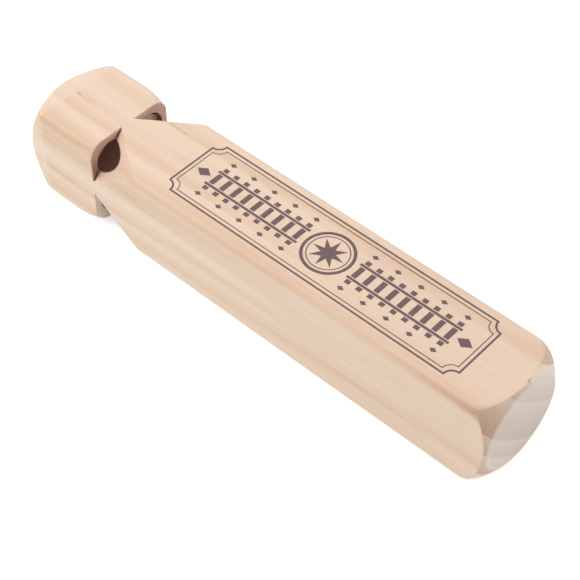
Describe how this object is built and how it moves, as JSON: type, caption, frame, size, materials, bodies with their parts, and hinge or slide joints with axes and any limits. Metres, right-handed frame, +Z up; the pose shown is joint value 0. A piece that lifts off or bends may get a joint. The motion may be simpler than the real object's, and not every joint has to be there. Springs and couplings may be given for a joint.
{
  "type": "train whistle",
  "caption": "Square wooden whistle with angled windows cut through its long edges, bored chambers behind them, flat-sided plugs and turned ends.",
  "frame": {"origin": "middle of the face that the whistle lies on", "axes": "+X along the whistle from the mouth end to the tail, -Y its front, +Z up"},
  "size_m": [0.1704, 0.03, 0.03],
  "materials": {
    "pine": "sanded bare softwood",
    "dowel": "sanded bare dowel, end grain",
    "print": "thin matt printed ink"
  },
  "bodies": {
    "root": {"whistle_block": "pine", "plug_front_upper": "dowel", "plug_back_upper": "dowel", "plug_front_lower": "dowel", "plug_back_lower": "dowel"}
  },
  "joints": []
}
